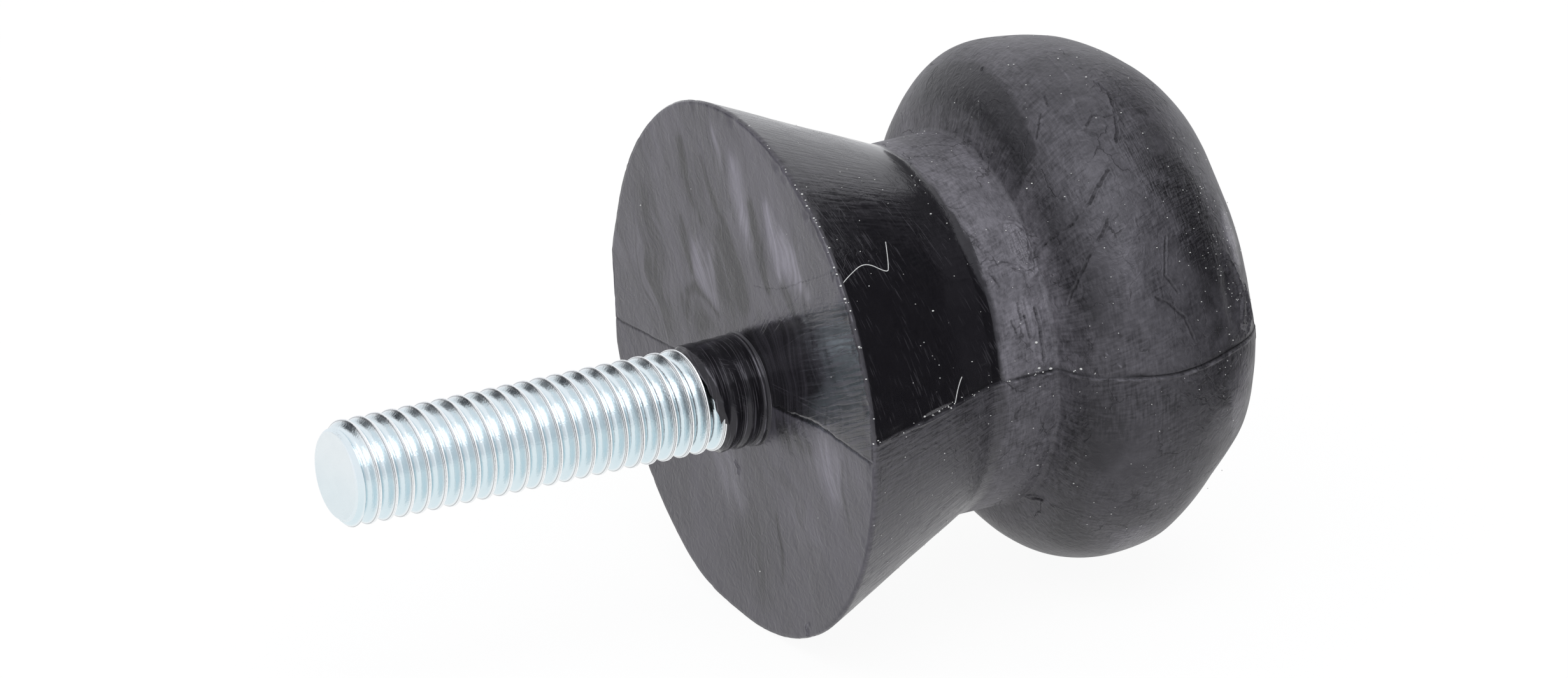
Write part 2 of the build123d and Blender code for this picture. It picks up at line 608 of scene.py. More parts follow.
@dataclass
class RubberBody:
    """The moulded rubber body: flat seat, cone, waist and round head. Sizes are in mm."""

    seat_radius: float = 15.0
    rim_break: float = 0.15
    cone_length: float = 10.0
    neck_radius: float = 10.35
    neck_length: float = 4.0
    root_round: float = 2.5
    head_radius: float = 14.45
    head_rise: float = 4.8
    head_root_angle: float = 72.0
    crown_radius: float = 8.3
    nose_radius: float = 10.3
    nose_edge: float = 0.6
    segments: int = 336
    stud_clear: float = 2.4
    seam_cuts: int = 4
    seam_zone: float = 12.0
    mark_zone: float = 0.4
    mark_step: float = 0.08
    marks: tuple[Mark, ...] = ()
    patches: tuple[Patch, ...] = ()
    strokes: tuple[Stroke, ...] = ()
    # the worn skin stays inside the box of the solids
    box_length: float = 26.06
    box_half_width: float = 15.08
    box_half_height: float = 14.92

    def __post_init__(self) -> None:
        """Works out the points where the outline's arcs meet."""
        self.neck_end = self.cone_length + self.neck_length
        self.widest_at = self.neck_end + self.head_rise
        self.crown_height = self.head_radius - self.crown_radius
        self.swell = self.head_radius - self.neck_radius
        steepness = math.tan(math.radians(self.head_root_angle))
        self.flank_angle = math.atan2(self.swell, self.head_rise * steepness)
        self.flank_top = self.widest_at - self.head_rise * math.cos(self.flank_angle)
        self.flank_foot = self.flank_top - self.swell * math.sin(self.flank_angle) / steepness
        nose_angle = math.asin((self.nose_radius - self.crown_height) / self.crown_radius)
        self.length = self.widest_at + self.crown_radius * math.cos(nose_angle)
        # a small round softens the nose's rim inside the sharp one
        flat_height = self.length - self.nose_edge
        self.edge_angle = math.acos((flat_height - self.widest_at) / (self.crown_radius - self.nose_edge))
        self.edge_centre = self.crown_height + (self.crown_radius - self.nose_edge) * math.sin(self.edge_angle)

    def radius_at(self, x: float) -> float:
        """Radius of the plain outline in mm.

        Args:
            x: Place along the axis in mm.

        Returns:
            The radius there.
        """
        if x <= self.cone_length:
            return self.seat_radius + (self.neck_radius - self.seat_radius) * x / self.cone_length
        if x <= self.flank_foot:
            return self.neck_radius
        if x <= self.widest_at:
            share = (self.widest_at - x) / self.head_rise
            return self.neck_radius + self.swell * math.sqrt(max(0.0, 1 - share ** 2))
        return self.crown_height + math.sqrt(max(0.0, self.crown_radius ** 2 - (x - self.widest_at) ** 2))

    def point(self, x: float, turn: float, lift: float = 0.0) -> Vector:
        """A point on the round skin.

        Args:
            x: Place along the axis in mm.
            turn: Degrees round the axis, 0 at the near parting line and 90 at the top.
            lift: Extra radius in mm.

        Returns:
            The point in mm.
        """
        radius = self.radius_at(x) + lift
        angle = math.radians(turn)
        return Vector((x, -radius * math.cos(angle), radius * math.sin(angle)))

    def outline(self, bm: bmesh.types.BMesh) -> None:
        """Draws the half outline from the seat's middle to the nose, over the axis.

        Args:
            bm: An empty mesh in mm, which gets the outline.
        """
        pen = bmesh.ops.create_vert(bm, co=(0, 0, 0))["vert"][0]

        def line_to(x: float, radius: float, steps: int) -> None:
            """Draws a straight run in equal steps.

            Args:
                x: Place of its end along the axis in mm.
                radius: Radius of its end in mm.
                steps: Number of steps.
            """
            nonlocal pen
            step = (Vector((x, 0, radius)) - pen.co) / steps
            for _ in range(steps):
                pen = bmesh.ops.extrude_vert_indiv(bm, verts=[pen])["verts"][0]
                bmesh.ops.translate(bm, vec=step, verts=[pen])

        def arc(x: float, radius: float, angle: float, steps: int, stretch: float = 1.0) -> None:
            """Draws an arc about a centre.

            Args:
                x: Place of the centre along the axis in mm.
                radius: Distance of the centre from the axis in mm.
                angle: Angle that it turns through in radians.
                steps: Number of steps.
                stretch: Stretch along the axis, which makes it elliptical.
            """
            nonlocal pen
            centre = Vector((x, 0, radius))
            to_centre = Matrix.Translation(-centre)
            bmesh.ops.scale(bm, vec=(1 / stretch, 1, 1), verts=[pen], space=to_centre)
            before = set(bm.verts) - {pen}
            made = bmesh.ops.spin(bm, geom=[pen], cent=centre, axis=(0, 1, 0), angle=angle, steps=steps)
            drawn = [v for v in bm.verts if v not in before]
            bmesh.ops.scale(bm, vec=(stretch, 1, 1), verts=drawn, space=to_centre)
            pen = next(v for v in made["geom_last"] if isinstance(v, bmesh.types.BMVert))

        slope = math.atan2(self.seat_radius - self.neck_radius, self.cone_length)
        tangent = self.root_round * math.tan(slope / 2)
        line_to(0.0, self.stud_clear, 1)
        line_to(0.0, self.seat_radius - self.rim_break, 62)
        line_to(self.rim_break * math.cos(slope), self.seat_radius - self.rim_break * math.sin(slope), 2)
        line_to(self.cone_length - tangent * math.cos(slope), self.neck_radius + tangent * math.sin(slope), 40)
        arc(self.cone_length + tangent, self.neck_radius + self.root_round, -slope, 5)
        line_to(self.flank_foot, self.neck_radius, 14)
        line_to(self.flank_top, self.neck_radius + self.swell * math.sin(self.flank_angle), 5)
        arc(self.widest_at, self.neck_radius, math.pi / 2 - self.flank_angle, 26, self.head_rise / self.swell)
        arc(self.widest_at, self.crown_height, math.pi / 2 - self.edge_angle, 46)
        arc(self.length - self.nose_edge, self.edge_centre, self.edge_angle, 5)
        line_to(self.length, 0.0, 12)

    def seam_height(self, x: float) -> float:
        """How high the near parting line wanders above the middle plane, in mm."""
        return 0.36 + 0.08 * math.sin(x * 0.9) - 0.012 * x

    def path_points(self, mark: Mark) -> list[Vector]:
        """Points close together along a mark.

        Args:
            mark: The mark.

        Returns:
            Points in mm that wander a little off its path.
        """
        corners = [Vector((0.0, a, b)) if mark.kind is MarkKind.WELD_LINE else self.point(a, b)
                   for a, b in mark.path]
        points = []
        for k, (start, end) in enumerate(zip(corners, corners[1:])):
            steps = max(2, round((end - start).length / self.mark_step))
            for i in range(steps + 1):
                t = i / steps
                p = start.lerp(end, t)
                p += 0.09 * noise.noise_vector(p * 1.4 + Vector((k, 3.1, 0.0)))
                p += 0.04 * noise.noise_vector(p * 5.0)
                if mark.kind is MarkKind.WELD_LINE:
                    p.x = 0.0
                points.append(p)
        return points

    def refine(self, bm: bmesh.types.BMesh, tree: kdtree.KDTree) -> None:
        """Makes the mesh finer beside the marks and the parting lines.

        Args:
            bm: The body's mesh in mm.
            tree: Finds the nearest point of a mark.
        """
        # edges that run round the body across a parting line, up to two segments away
        seam = []
        beside = 0.036
        for edge in bm.edges:
            a, b = (v.co for v in edge.verts)
            radius = math.hypot(a.y, a.z)
            runs_round = abs(a.x - b.x) < 1e-5 and abs(radius - math.hypot(b.y, b.z)) < 1e-4
            if runs_round and a.x > 0.01 and max(abs(a.z), abs(b.z)) < beside * radius + 1e-6:
                seam.append(edge)
        bmesh.ops.subdivide_edges(bm, edges=seam, cuts=self.seam_cuts)
        for reach, shortest in ((0.34, 0.16), (0.20, 0.09)):
            near = [e for e in bm.edges
                    if tree.find((e.verts[0].co + e.verts[1].co) / 2)[2] < reach and e.calc_length() > shortest]
            bmesh.ops.subdivide_edges(bm, edges=near, cuts=1, use_grid_fill=True)

    def shape(self, bm: bmesh.types.BMesh, tree: kdtree.KDTree, owners: list[Mark]) -> None:
        """Moves the plain skin to the real one and paints the finish masks.

        Args:
            bm: The body's mesh in mm.
            tree: Finds the nearest point of a mark.
            owners: The mark that each of those points belongs to.
        """
        bm.normal_update()
        layers = {name: bm.verts.layers.float.new(name)
                  for name in ("gloss", "bloom", "line", "seat", "streak", "wrinkle", "comb")}
        round_patches = [p for p in self.patches if not p.on_seat]
        seat_patches = [p for p in self.patches if p.on_seat]
        moves = []
        for vert in bm.verts:
            x, y, z = vert.co
            radius = math.hypot(y, z)
            turn = math.degrees(math.atan2(z, -y))
            on_seat = x < 0.01
            lift = 0.030 * noise.noise(vert.co * 0.22) + 0.012 * noise.noise(vert.co * 0.9)
            step = Vector((0.0, 0.0, 0.0))
            dark = wrinkle = comb = glint = 0.0
            if on_seat:
                gloss, bloom = self.seat_finish(y, z)
                wobble = ripple((y - 0.36 * z) * 2.6, z * 0.3)
                for stroke in self.strokes:
                    share = stroke.share_at(y, z, wobble)
                    bloom += stroke.tone * share
                    gloss += 0.3 * max(0.0, stroke.tone) * share
                    comb = max(comb, share if stroke.tone > 0 else 0.45 * share)
                comb = 0.22 * smooth(-10.0, 0.0, z) + (0.45 + 0.35 * smooth(-1.5, 1.5, z)) * comb
                lift += self.seat_sink(y, z)
                streak = self.drag_share(y, z)
                near, a, b = seat_patches, y, z
            else:
                gloss, bloom, streak = self.skin_finish(x, turn)
                lift += self.seam_lift(x, turn, radius)
                # painted shade in the parting gap and painted highlight on the flash ridge below it
                dark, glint = self.seam_tone(x, turn, radius)
                near, a, b = round_patches, x, turn
            if radius > 14.4 and x < 0.5:
                lift -= self.rim_nick(turn, x)
            # the round head is a little uneven
            lift += smooth(14.0, 17.0, x) * (0.06 * ripple(x * 0.34 + 9.0, y * 0.34, z * 0.34) - 0.01)
            _, index, gap = tree.find(vert.co)
            if gap < self.mark_zone:
                mark = owners[index]
                # painted shade darkens the mark; where its dark is below zero it is a lighter scratch instead
                shade = mark.dark * (0.7 + 0.7 * noise.noise(vert.co * 6.0)) * bell(gap, mark.width * 1.1)
                lift -= mark.depth * bell(gap, mark.width)
                lift += mark.lip * bell(gap - 2.2 * mark.width, mark.width)
                dark, glint = max(dark, shade), max(glint, -shade)
            # the upper half of the nose lies a little further back than the lower one
            nose = smooth(22.5, 25.8, x)
            upper = smooth(-0.1, 0.25, z - self.seam_height(x))
            outer = smooth(7.0, 9.8, radius) if x > 25.0 else 1.0
            step.x = nose * (0.05 - upper * (0.05 + 0.12 * outer * bell(turn - 32.0, 26.0)))
            if x < 6.0 and radius > 6.0:
                growth = self.rim_growth(turn, x) * smooth(6.0, self.seat_radius, radius + 0.47 * x)
                step.y += growth * y / radius
                step.z += growth * z / radius
            for patch in near:
                share = outer * patch.share_at(a, b, noise.noise(vert.co * 0.9))
                if share > 0:
                    bloom += patch.bloom * share
                    gloss += patch.gloss * share
                    wrinkle += patch.wrinkle * share
                lift += outer * patch.rise_at(a, b)
            # the painted highlight on the flash ridge and the lighter scratches add bloom
            bloom += 1.6 * glint
            values = (gloss, bloom, dark, 1.0 if on_seat else 0.0, streak, wrinkle, comb)
            for name, amount in zip(layers, values):
                vert[layers[name]] = min(1.0, max(0.0, amount))
            moves.append((vert, vert.normal * lift + step))
        for vert, move in moves:
            x, y, z = vert.co + move
            vert.co = (min(x, self.box_length), max(-self.box_half_width, min(self.box_half_width, y)),
                       max(-self.box_half_height, min(self.box_half_height, z)))

    def rim_growth(self, turn: float, x: float) -> float:
        """How far the seat's rim bulges past a true circle, most on the far lower side.

        Args:
            turn: Degrees round the axis.
            x: Place along the axis in mm.

        Returns:
            Extra radius in mm.
        """
        around = turn % 360.0
        far = smooth(160.0, 178.0, around) * smooth(268.0, 238.0, around)
        outer = smooth(92.0, 116.0, around) * smooth(262.0, 248.0, around)
        return (0.10 * outer + 0.44 * far) * smooth(6.0, 0.0, x)

    def seat_line(self, y: float) -> float:
        """Height of the parting line on the seat face in mm, which lies below the middle."""
        return -1.05 + 0.55 * smooth(-3.0, -10.0, y) - 0.45 * smooth(2.0, 14.0, y)

    def seat_finish(self, y: float, z: float) -> tuple[float, float]:
        """Finish of the seat face, glossier above the parting line on the near side, with painted shade and reflection
        of the stud in a wedge beside it.

        Args:
            y: Place across in mm, the near side is negative.
            z: Height in mm.

        Returns:
            Gloss and bloom shares.
        """
        upper = smooth(-0.06, 0.06, z - self.seat_line(y))
        # painted shade and reflection of the stud: a darker, glossier wedge beside it above the parting line
        painted_stud_shade = upper * smooth(0.25, -0.25, z - self.stud_shade_top(y)) * smooth(1.5, -1.0, y)
        gloss = 0.52 + 0.16 * upper + 0.26 * painted_stud_shade
        bloom = 0.355 + 0.02 * upper - 0.345 * painted_stud_shade
        return gloss, bloom

    def stud_shade_top(self, y: float) -> float:
        """Height of the upper edge of the painted shade and reflection of the stud, a dark glossy wedge beside it, in
        mm.
        """
        return 2.3 - 0.44 * y

    def drag_share(self, y: float, z: float) -> float:
        """How strong the drag marks beside the stud are on the seat face.

        Args:
            y: Place across in mm.
            z: Height in mm.

        Returns:
            Their strength from 0 to 1.
        """
        over = z - self.stud_shade_top(y)
        strength = smooth(-4.2, -13.5, y) * smooth(0.0, 0.2, z - self.seat_line(y))
        return strength * (1.0 - 0.65 * smooth(-0.4, 0.4, over)) * smooth(4.5, 1.5, over)

    def seat_sink(self, y: float, z: float) -> float:
        """A shallow hollow of the upper half beside the parting line.

        Args:
            y: Place across in mm.
            z: Height in mm.

        Returns:
            The move along x, outwards from the face, in mm.
        """
        above = z - self.seat_line(y)
        if above < 0.0 or y > 0.0:
            return 0.0
        return -0.05 * smooth(-1.0, -6.0, y) * smooth(0.0, 2.2, above) * smooth(6.0, 2.5, above)

    def rim_nick(self, turn: float, x: float) -> float:
        """Depth of the nicks along the rim of the seat, most on the near upper side.

        Args:
            turn: Degrees round the axis.
            x: Place along the axis in mm.

        Returns:
            The depth in mm.
        """
        patchiness = 0.10 + 0.90 * bell(turn - 45.0, 40.0)
        coarse = max(0.0, ripple(turn * 0.42, 3.0) - 0.08)
        fine = max(0.0, ripple(turn * 1.1, 9.0) - 0.05)
        return patchiness * (0.42 * coarse + 0.30 * fine) * smooth(0.5, 0.0, x)

    def seam_lift(self, x: float, turn: float, radius: float) -> float:
        """Height of the flash ridge and depth of the gap above it.

        Args:
            x: Place along the axis in mm.
            turn: Degrees round the axis.
            radius: Distance from the axis in mm.

        Returns:
            The height in mm, below zero in the gap.
        """
        if abs(turn) < self.seam_zone:
            across = radius * math.radians(turn) - self.seam_height(x)
        elif abs(turn) > 180 - self.seam_zone:
            across = radius * math.radians(180 - abs(turn)) * (1 if turn > 0 else -1) - 0.1
        else:
            return 0.0
        rag = 0.6 + 0.9 * ripple(x * 2.6, turn * 0.05, 7.7)
        fade = smooth(0.0, 0.4, x) * smooth(26.0, 23.5, x)
        return fade * (0.09 * rag * bell(across + 0.11, 0.06) - 0.13 * bell(across - 0.04, 0.055))

    def seam_tone(self, x: float, turn: float, radius: float) -> tuple[float, float]:
        """Painted shade in the near parting line's gap and painted highlight on its flash ridge.

        Args:
            x: Place along the axis in mm.
            turn: Degrees round the axis.
            radius: Distance from the axis in mm.

        Returns:
            How much painted shade darkens the gap, and how much painted highlight lies on the flash ridge below it,
            from 0 to 1.
        """
        if abs(turn) > self.seam_zone:
            return 0.0, 0.0
        across = radius * math.radians(turn) - self.seam_height(x)
        gap = (0.75 + 0.5 * ripple(x * 1.1, 0.0, 4.0)) * bell(across - 0.05, 0.055) * smooth(3.0, 9.5, radius)
        # the painted highlight on the ridge comes and goes along it
        patchiness = smooth(-0.1, 0.35, ripple(x * 2.6, turn * 0.05, 7.7))
        glint = 0.34 * patchiness * bell(across + 0.11, 0.05) * smooth(9.5, 10.5, x) * smooth(5.0, 10.0, radius)
        return gap, glint

    def skin_finish(self, x: float, turn: float) -> tuple[float, float, float]:
        """Finish of the round skin before the patches.

        Args:
            x: Place along the axis in mm.
            turn: Degrees round the axis.

        Returns:
            Gloss, bloom and streak shares.
        """
        # the mould was polished on the cone, up to a ragged edge
        edge = 10.55 + 0.14 * ripple(turn * 0.06, 1.0, 2.0) + 0.05 * ripple(turn * 0.3, 5.0)
        edge -= 0.6 * smooth(50.0, 78.0, turn)
        matte = smooth(-0.05, 0.05, x - edge)
        lower = smooth(0.6, -0.6, turn - 1.6)
        neck_bloom = 0.78 - 0.30 * lower
        gloss = (1 - matte) * (0.97 - 0.36 * lower - 0.16 * bell(turn - 60.0, 20.0)) + matte * 0.06
        bloom = matte * neck_bloom + (1 - matte) * (0.015 + 0.085 * lower)
        head = smooth(13.9, 14.6, x)
        gloss += head * 0.22
        bloom += head * (0.31 - 0.11 * lower - neck_bloom)
        # painted shade at the head's root: a darker colour, with a little more gloss
        painted_root_shade = self.root_shade_share(x, turn)
        gloss += 0.08 * painted_root_shade
        bloom -= 0.30 * painted_root_shade
        bloom += 0.30 * smooth(0.3, 0.1, x)
        upper_streak = 0.72 * smooth(40.0, 75.0, turn) * smooth(9.0, 6.0, x)
        return gloss, bloom, (0.8 * lower + upper_streak) * (1 - matte)

    def root_shade_share(self, x: float, turn: float) -> float:
        """How much painted shade lies at the head's root, under its overhang, where the skin is also a little
        glossier.

        Args:
            x: Place along the axis in mm.
            turn: Degrees round the axis.

        Returns:
            The share from 0 to 1.
        """
        if not (13.2 < x < 17.6 and 36.0 < turn < 128.0):
            return 0.0
        edge = 15.3 + 0.9 * min(1.0, max(0.0, (turn - 60.0) / 35.0)) - 0.5 * max(0.0, (turn - 95.0) / 24.0)
        edge -= 1.4 * smooth(61.0, 54.0, turn)
        ragged = 0.10 * ripple(x * 1.2, turn * 0.12, 3.0) + 0.05 * ripple(x * 3, turn * 0.5)
        share = smooth(-0.10, 0.10, edge - x + ragged) * smooth(13.3, 13.8, x)
        return share * smooth(127.0, 118.0, turn) * smooth(46.0, 57.0, turn)

    def build(self, finish: MouldedRubber) -> bpy.types.Object:
        """Models and dresses the body.

        Args:
            finish: The rubber's finish.

        Returns:
            The finished piece.
        """
        bm = bmesh.new()
        self.outline(bm)
        spin_round(bm, self.segments)
        bmesh.ops.remove_doubles(bm, verts=bm.verts, dist=1e-4)
        bmesh.ops.recalc_face_normals(bm, faces=bm.faces)
        samples = [(mark, p) for mark in self.marks for p in self.path_points(mark)]
        owners = [mark for mark, _ in samples]
        tree = kdtree.KDTree(len(samples))
        for i, (_, p) in enumerate(samples):
            tree.insert(p, i)
        tree.balance()
        self.refine(bm, tree)
        self.shape(bm, tree, owners)
        return finish_piece(bm, "rubber_skin", finish.build(), "rubber_body")


@dataclass
class ThreadedStud:
    """The zinc-plated stud: rolled M6 thread, run-out, shank and hexagon head. Sizes are in mm."""

    pitch: float = 1.0
    crest_radius: float = 2.94
    root_radius: float = 2.46
    length: float = 25.0
    tip_radius: float = 2.42
    sunk: float = 0.8
    shank_radius: float = 2.675
    head_from: float = 5.0
    head_height: float = 4.0
    across_flats: float = 10.0
    head_chamfer: float = 0.4
    drop: float = 0.9
    lean: float = 1.6
    lean_centre: float = -6.0
    tip_clear: float = 0.065
    steps_per_turn: int = 60

    def thread_outline(self) -> list[tuple[float, float]]:
        """One pitch of the rolled thread, whose crest has a fine fold in its middle.

        Returns:
            Points (along, radius) in mm, from root to root.
        """
        top, low = self.crest_radius, self.root_radius
        flank = [(0.0, low), (0.11, low + 0.01), (0.185, low + 0.06), (0.265, low + 0.19), (0.345, low + 0.33),
                 (0.405, top - 0.05), (0.44, top), (0.47, top - 0.006)]
        return [*flank, (0.50, top - 0.03), *((1.0 - along, radius) for along, radius in reversed(flank))]

    def build(self, finish: ZincPlate) -> bpy.types.Object:
        """Models and dresses the stud.

        Args:
            finish: The plating.

        Returns:
            The finished piece.
        """
        bm = bmesh.new()
        # the turns reach past both ends, where the planes cut them off
        turns = round(self.length + self.sunk) + 3
        start = -self.length - 1.5
        last = None
        for along, radius in self.thread_outline():
            vert = bmesh.ops.create_vert(bm, co=(start + along * self.pitch, 0, radius))["vert"][0]
            if last is not None:
                bm.edges.new((last, vert))
            last = vert
        bmesh.ops.spin(bm, geom=list(bm.verts) + list(bm.edges), cent=(0, 0, 0), axis=(1, 0, 0),
                       dvec=(self.pitch / self.steps_per_turn, 0, 0), angle=2 * math.pi,
                       steps=self.steps_per_turn)
        one_turn = list(bm.verts) + list(bm.edges) + list(bm.faces)
        for k in range(1, turns):
            copy = bmesh.ops.duplicate(bm, geom=one_turn)["geom"]
            moved = [v for v in copy if isinstance(v, bmesh.types.BMVert)]
            bmesh.ops.translate(bm, vec=(k * self.pitch, 0, 0), verts=moved)
        bmesh.ops.remove_doubles(bm, verts=bm.verts, dist=1e-3)
        for plane, way in ((-self.length, -1), (self.sunk, 1)):
            bmesh.ops.bisect_plane(bm, geom=list(bm.verts) + list(bm.edges) + list(bm.faces), dist=1e-5,
                                   plane_co=(plane, 0, 0), plane_no=(way, 0, 0), clear_outer=True)
        # chamfer of 45 degrees on the tip
        for vert in bm.verts:
            radius = math.hypot(vert.co.y, vert.co.z)
            limit = self.tip_radius + max(0.0, vert.co.x + self.length)
            if radius > limit:
                vert.co.yz = vert.co.yz * (limit / radius)
        rims = [e for e in bm.edges if e.is_boundary]
        bmesh.ops.edgeloop_fill(bm, edges=rims)
        self.add_shank_and_head(bm)
        bmesh.ops.recalc_face_normals(bm, faces=bm.faces)
        bmesh.ops.rotate(bm, cent=(self.lean_centre, 0, 0), verts=bm.verts,
                         matrix=Matrix.Rotation(math.radians(self.lean), 3, "Y"))
        bmesh.ops.translate(bm, vec=(self.tip_clear, 0, -self.drop), verts=bm.verts)
        seat_drop = self.drop - self.lean_centre * math.tan(math.radians(self.lean))
        plating = finish.build(self.root_radius, self.crest_radius, seat_drop, self.lean)
        piece = finish_piece(bm, "zinc_stud", plating, "threaded_stud")
        piece.data.set_sharp_from_angle(angle=math.radians(40))
        return piece

    def add_shank_and_head(self, bm: bmesh.types.BMesh) -> None:
        """Adds the plain shank and the hexagon head that lie inside the rubber.

        Args:
            bm: The stud's mesh in mm.
        """
        end = self.head_from + self.head_height
        corner = self.across_flats / 2 / math.cos(math.pi / 6)
        for radius, start, stop, sides in ((self.shank_radius, self.sunk - 0.3, self.head_from, 48),
                                           (corner, self.head_from, end, 6)):
            place = Matrix.Translation(((start + stop) / 2, 0, 0)) @ Matrix.Rotation(math.pi / 2, 4, "Y")
            made = bmesh.ops.create_cone(bm, cap_ends=True, segments=sides, radius1=radius, radius2=radius,
                                         depth=stop - start, matrix=place)
        far = {v for v in made["verts"] if v.co.x > end - 1e-4}
        rim = [e for e in bm.edges if far.issuperset(e.verts)]
        bmesh.ops.bevel(bm, geom=rim, offset=self.head_chamfer, segments=1, affect="EDGES", profile=0.5,
                        material=-1)


@dataclass
class RubberFilm:
    """The thin rubber flash that crept over the first thread turns. Sizes are in mm."""

    reach: float = 3.1
    slant: float = 0.62
    crest_radius: float = 3.05
    wave_height: float = 0.075
    flare: float = 0.10
    pitch: float = 1.0
    lip_at: float = 0.26
    wall: float = 0.06
    drop: float = 1.07
    lean: float = 1.6
    rows: int = 88
    segments: int = 120

    def build(self, finish: bpy.types.Material) -> bpy.types.Object:
        """Models and dresses the film.

        Args:
            finish: The rubber material, shared with the body.

        Returns:
            The finished piece.
        """
        bm = bmesh.new()
        start = bmesh.ops.create_vert(bm, co=(0.35, 0, 1.0))["vert"][0]
        end = bmesh.ops.extrude_vert_indiv(bm, verts=[start])["verts"][0]
        bmesh.ops.translate(bm, vec=(-1.35, 0, 0), verts=[end])
        bmesh.ops.subdivide_edges(bm, edges=list(bm.edges), cuts=self.rows - 1)
        spin_round(bm, self.segments)
        bmesh.ops.remove_doubles(bm, verts=bm.verts, dist=1e-5)
        gloss, bloom, rings = (bm.verts.layers.float.new(name) for name in ("gloss", "bloom", "ring"))
        for vert in bm.verts:
            turn = math.atan2(vert.co.z, -vert.co.y)
            share = -vert.co.x
            ring = Vector((math.cos(turn), math.sin(turn), 0.0))
            edge = self.reach + self.slant * math.sin(turn)
            edge += 0.16 * noise.noise(ring * 1.7) + 0.12 * noise.noise(ring * 5.0)
            x = -share * edge if share > 0 else vert.co.x
            # the film shows the thread's turns, most on its lower side, and flares at the seat
            wave = math.cos(2 * math.pi * x / self.pitch - turn)
            low = smooth(0.6, -0.7, math.sin(turn))
            radius = self.crest_radius + self.wave_height * wave * (0.15 + 0.85 * low)
            radius += self.flare * math.exp(-max(0.0, -x) / 0.05) + 0.03 * bell(x + self.lip_at, 0.04)
            radius += 0.06 * smooth(2.6, 0.0, -x) * smooth(-0.2, 0.8, math.sin(turn))
            radius += 0.018 * ripple(x * 2.5, turn * 3, 1.0)
            radius -= smooth(0.88, 1.0, share) * 0.30
            rise = -x * math.tan(math.radians(self.lean))
            vert.co = Vector((x, -radius * math.cos(turn), radius * math.sin(turn) - self.drop + rise))
            lip = bell(x + self.lip_at, 0.028) * smooth(-0.35, 0.1, ripple(ring.x * 2.6, ring.y * 2.6, 4.0))
            vert[gloss] = 0.92 - 0.3 * lip
            vert[bloom] = lip
            vert[rings] = 0.4 + 0.6 * smooth(0.8, -0.4, math.sin(turn))
        bmesh.ops.recalc_face_normals(bm, faces=bm.faces)
        axis = Vector((0.0, 0.0, -self.drop))
        if sum(f.normal.yz.dot((f.calc_center_median() - axis).yz) for f in bm.faces) < 0:
            bmesh.ops.reverse_faces(bm, faces=bm.faces)
        bmesh.ops.solidify(bm, geom=list(bm.faces), thickness=self.wall)
        return finish_piece(bm, "rubber_film", finish)


@dataclass
class Lint:
    """Specks of dust and short fibres that lie on the rubber. Sizes are in mm."""

    body: RubberBody
    specks: tuple[tuple[float, float, float], ...] = ()
    seat_specks: tuple[tuple[float, float, float], ...] = ()
    fibres: tuple[tuple[tuple[float, float], ...], ...] = ()
    fibre_radius: float = 0.024
    loose_count: int = 260
    seam_count: int = 40
    rim_count: int = 34
    crown_count: int = 90
    seed: int = 11

    def scattered(self, spin: random.Random) -> list[tuple[float, float, float]]:
        """Scatters the finest dust on the near side and along the parting line.

        Args:
            spin: The random numbers to draw from.

        Returns:
            Specks as (x in mm, turn in degrees, size in mm).
        """
        loose = [(spin.uniform(0.5, 25.2), spin.uniform(-55, 110), spin.uniform(0.035, 0.09))
                 for _ in range(self.loose_count)]
        seam = [(spin.uniform(0.4, 15.0), spin.uniform(1.0, 2.6), spin.uniform(0.05, 0.13))
                for _ in range(self.seam_count)]
        rim = [(spin.uniform(0.0, 0.25), spin.gauss(42.0, 22.0), spin.uniform(0.05, 0.15))
               for _ in range(self.rim_count)]
        crown = [(min(25.6, spin.gauss(23.2, 1.3)), spin.gauss(24.0, 15.0), spin.uniform(0.035, 0.085))
                 for _ in range(self.crown_count)]
        return loose + seam + rim + crown

    def build_specks(self, finish: bpy.types.Material) -> bpy.types.Object:
        """Models the specks, each a small uneven lump pressed flat on the skin.

        Args:
            finish: The dust's finish.

        Returns:
            The finished piece.
        """
        bm = bmesh.new()
        spin = random.Random(self.seed)
        places = [(self.body.point(x, turn, 0.01), size)
                  for x, turn, size in (*self.specks, *self.scattered(spin))]
        places += [(Vector((-0.01, y, z)), size) for y, z, size in self.seat_specks]
        for place, size in places:
            made = bmesh.ops.create_icosphere(bm, subdivisions=1, radius=size / 2)
            squeeze = (spin.uniform(0.7, 1.3), spin.uniform(0.7, 1.3), spin.uniform(0.5, 0.9))
            bmesh.ops.scale(bm, vec=squeeze, verts=made["verts"])
            bmesh.ops.translate(bm, vec=place, verts=made["verts"])
        return finish_piece(bm, "dust_specks", finish)

    def build_fibres(self, finish: bpy.types.Material) -> bpy.types.Object:
        """Models the fibres as thin bent hairs that follow the skin.

        Args:
            finish: The fibres' finish.

        Returns:
            The finished piece.
        """
        bm = bmesh.new()
        for path in self.fibres:
            corners = [self.body.point(x, turn, 0.03) for x, turn in path]
            curve = bpy.data.curves.new("fibre", "CURVE")
            curve.dimensions = "3D"
            curve.bevel_depth = self.fibre_radius
            curve.bevel_resolution = 1
            curve.resolution_u = 6
            spline = curve.splines.new("NURBS")
            spline.points.add(len(corners) - 1)
            for p, corner in zip(spline.points, corners):
                p.co = (*corner, 1.0)
            spline.order_u = 3
            spline.use_endpoint_u = True
            holder = bpy.data.objects.new("fibre", curve)
            mesh = bpy.data.meshes.new_from_object(holder)
            bm.from_mesh(mesh)
            bpy.data.objects.remove(holder)
            bpy.data.curves.remove(curve)
            bpy.data.meshes.remove(mesh)
        return finish_piece(bm, "lint_fibres", finish)


